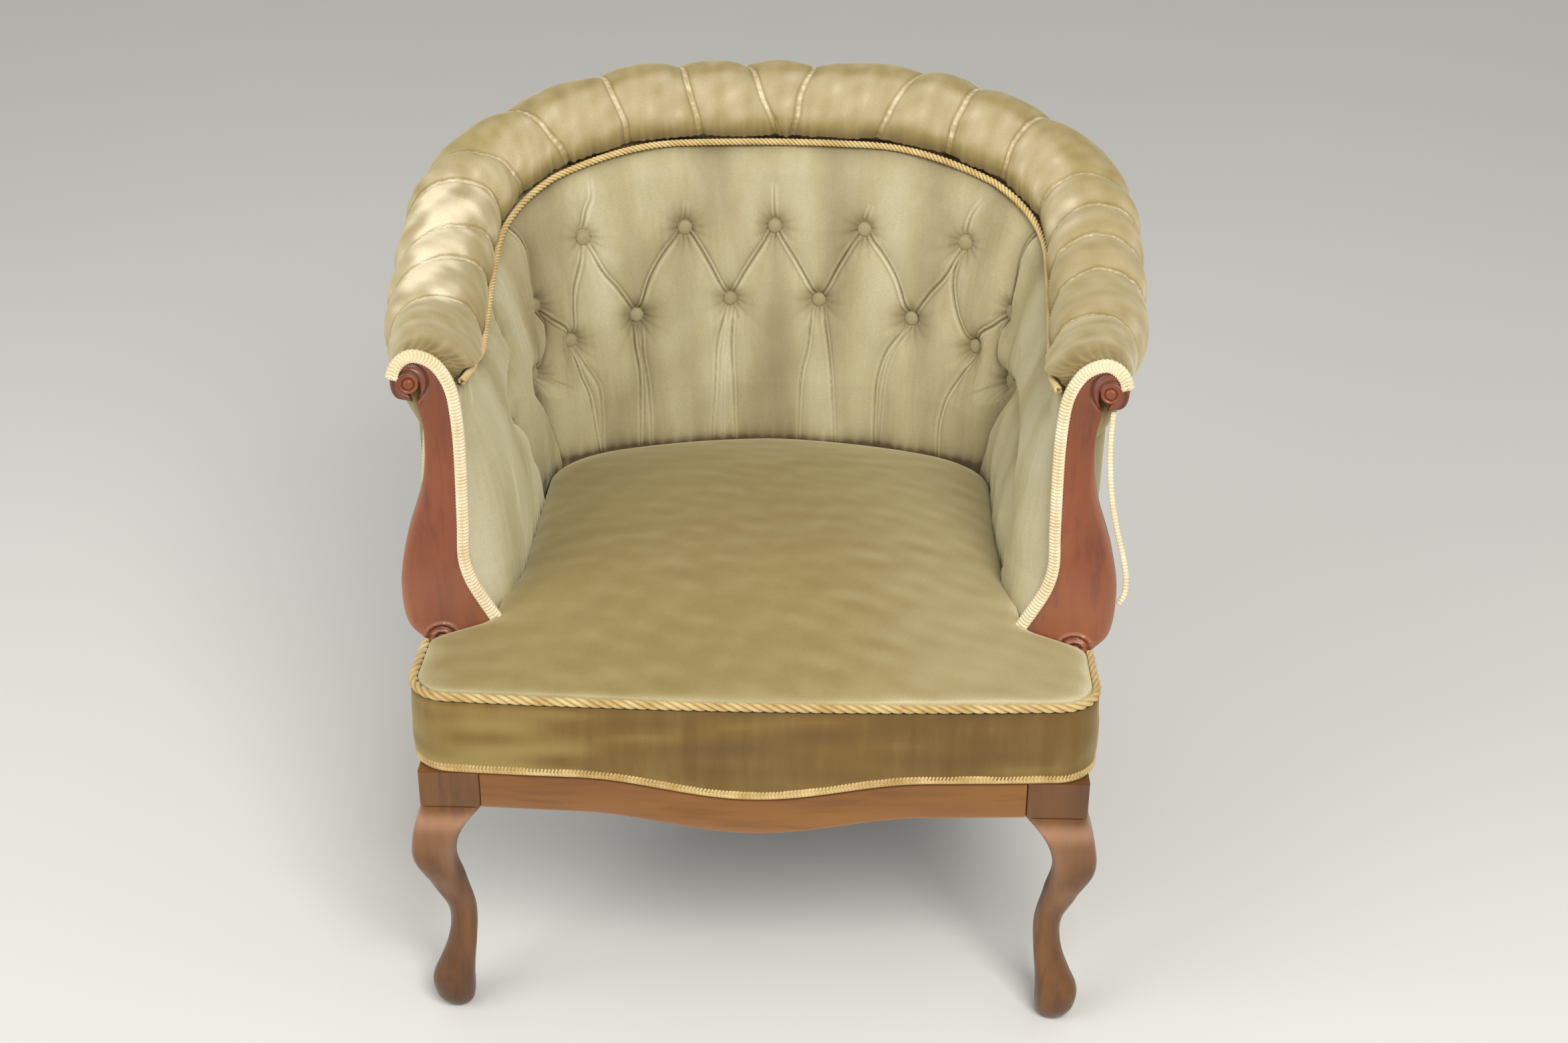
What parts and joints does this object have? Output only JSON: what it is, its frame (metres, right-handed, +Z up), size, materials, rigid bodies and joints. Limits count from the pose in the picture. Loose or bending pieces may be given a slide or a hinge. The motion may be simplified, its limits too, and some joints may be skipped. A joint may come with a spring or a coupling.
{
  "type": "tub chair",
  "caption": "Low tub chair with a deep-buttoned horseshoe back, a channelled roll over back and arms, carved wooden arm facings and cabriole front legs.",
  "frame": {"origin": "on the floor, under the middle of the chair's bounding box", "axes": "+X to the sitter's left, +Y to the back, +Z up"},
  "size_m": [0.7386, 0.7017, 0.7361],
  "materials": {
    "frame_wood": "raw beech",
    "mahogany": "polished",
    "velvet": "worn velvet",
    "rope": "twisted silk cord",
    "gimp": "flat braid",
    "webbing": "jute",
    "hessian": "hessian",
    "dust_cloth": "plain cloth",
    "spring_wire": "coppered wire"
  },
  "bodies": {
    "root": {"front_rail": "frame_wood", "back_rail": "frame_wood", "tacking_rail_back": "frame_wood", "crest_rail": "frame_wood", "side_rail_left": "frame_wood", "side_rail_right": "frame_wood", "corner_block_left": "frame_wood", "corner_block_right": "frame_wood", "back_leg_left": "mahogany", "back_leg_right": "mahogany", "arm_post_left": "frame_wood", "arm_post_right": "frame_wood", "tacking_rail_left": "frame_wood", "tacking_rail_right": "frame_wood", "arm_rail_left": "frame_wood", "arm_rail_right": "frame_wood", "front_leg_left": "mahogany", "front_leg_right": "mahogany", "arm_facing_left": "mahogany", "arm_facing_right": "mahogany", "front_apron": "mahogany", "seat_cushion": "velvet", "inner_back": "velvet", "buttons": "velvet", "channelled_roll": "velvet", "outside_arm_left": "velvet", "outside_arm_right": "velvet", "outside_back": "velvet", "front_border": "velvet", "roll_rope": "rope", "seat_rope": "rope", "front_gimp": "gimp", "facing_gimp_left": "gimp", "facing_gimp_right": "gimp", "outer_gimp_right": "gimp", "outer_gimp_left": "gimp", "loose_gimp": "gimp", "seat_webbing": "webbing", "back_webbing": "webbing", "seat_hessian": "hessian", "back_hessian": "hessian", "edge_roll": "hessian", "bottom_cloth": "dust_cloth", "seat_springs": "spring_wire"}
  },
  "joints": []
}
